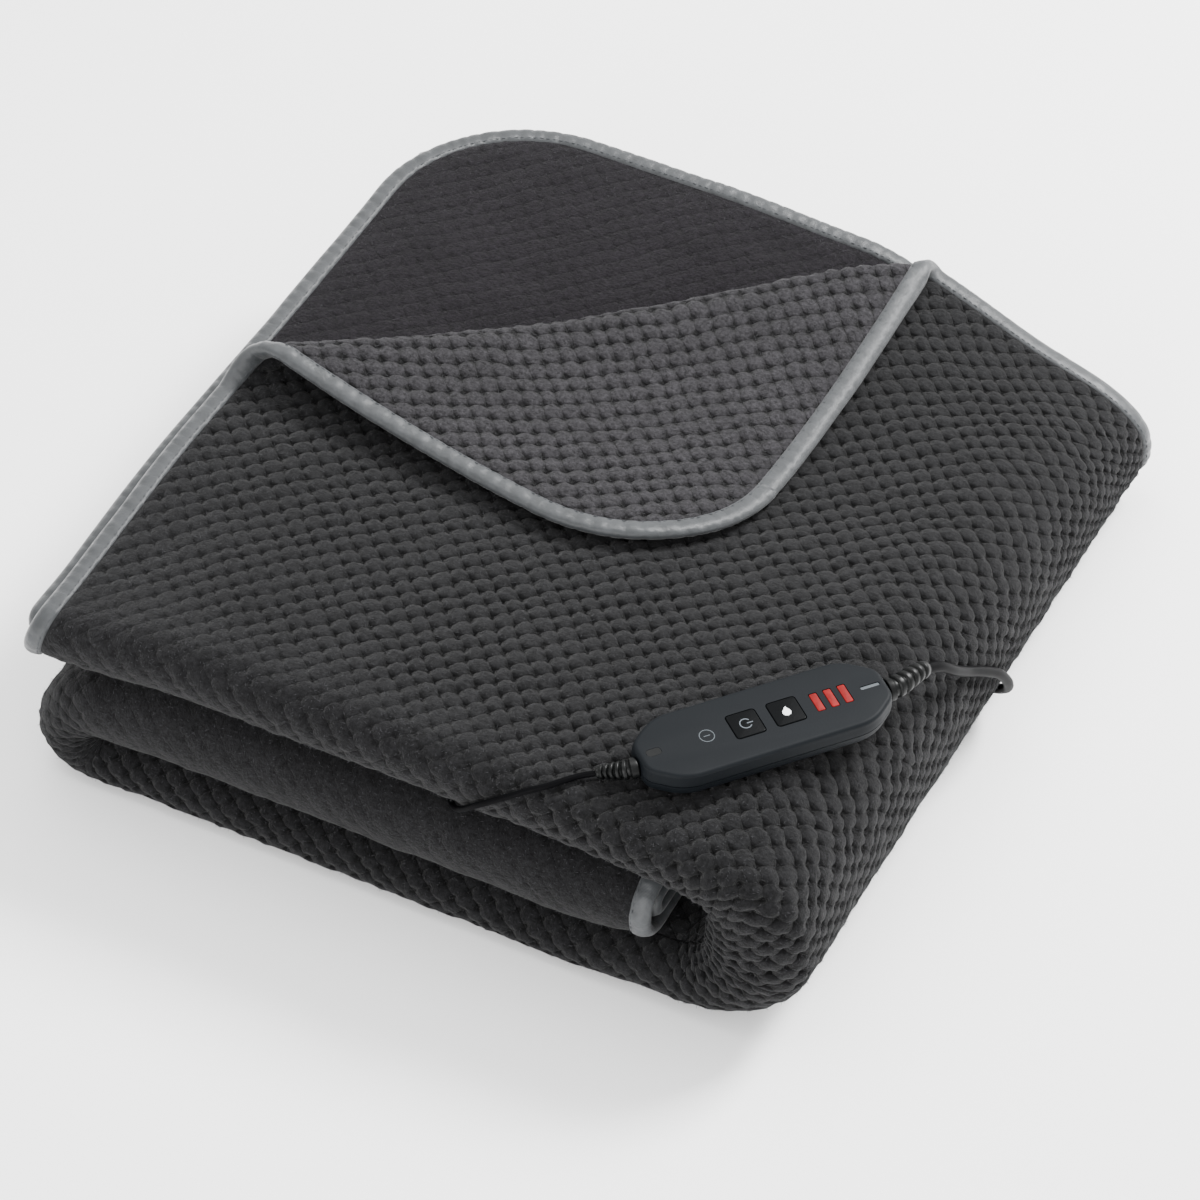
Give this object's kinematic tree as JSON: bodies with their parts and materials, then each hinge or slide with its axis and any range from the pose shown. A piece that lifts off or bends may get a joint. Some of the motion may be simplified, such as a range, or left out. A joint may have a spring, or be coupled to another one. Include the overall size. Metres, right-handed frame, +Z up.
{
  "type": "folded heated overblanket with a hand control",
  "caption": "Folded heated fleece blanket with a satin binding, a turned-back corner, and a corded hand control with push keys and light windows on top",
  "frame": {"origin": "on the surface that the folded blanket lies on, under the middle of the pile", "axes": "+X to the right along the pile's front edge, +Y from front to back, +Z up"},
  "size_m": [0.4453, 0.5573, 0.1405],
  "materials": {
    "cloth": "embossed charcoal fleece",
    "binding": "grey satin tape",
    "control_shell": "fine matte slate plastic",
    "key": "dark satin plastic",
    "light": "lit red window",
    "relief": "black moulded rubber",
    "lead": "smooth black lead jacket",
    "tie": "black woven strap",
    "plug": "black moulded plug",
    "pin": "bright plated pins"
  },
  "bodies": {
    "blanket": {"cloth": "cloth", "binding": "binding", "control_lower_shell": "control_shell", "control_upper_shell": "control_shell", "light_1": "light", "light_2": "light", "light_3": "light", "control_lead_relief": "relief", "mains_lead_relief": "relief", "control_lead": "lead", "mains_lead": "lead", "mains_lead_tail": "lead", "lead_coil": "lead", "coil_tie": "tie", "plug_relief": "relief", "plug_body": "plug", "plug_pin_1": "pin", "plug_pin_2": "pin"},
    "power_key": {"power_key": "key"},
    "heat_key": {"heat_key": "key"}
  },
  "joints": [
    {"name": "power_key_press", "type": "slide", "parent": "blanket", "child": "power_key", "axis": [-0.0627, 0.0053, -0.998], "range_m": [0, 0.0008], "stiffness_N_per_m": 500},
    {"name": "heat_key_press", "type": "slide", "parent": "blanket", "child": "heat_key", "axis": [-0.0627, 0.0053, -0.998], "range_m": [0, 0.0008], "stiffness_N_per_m": 500}
  ]
}
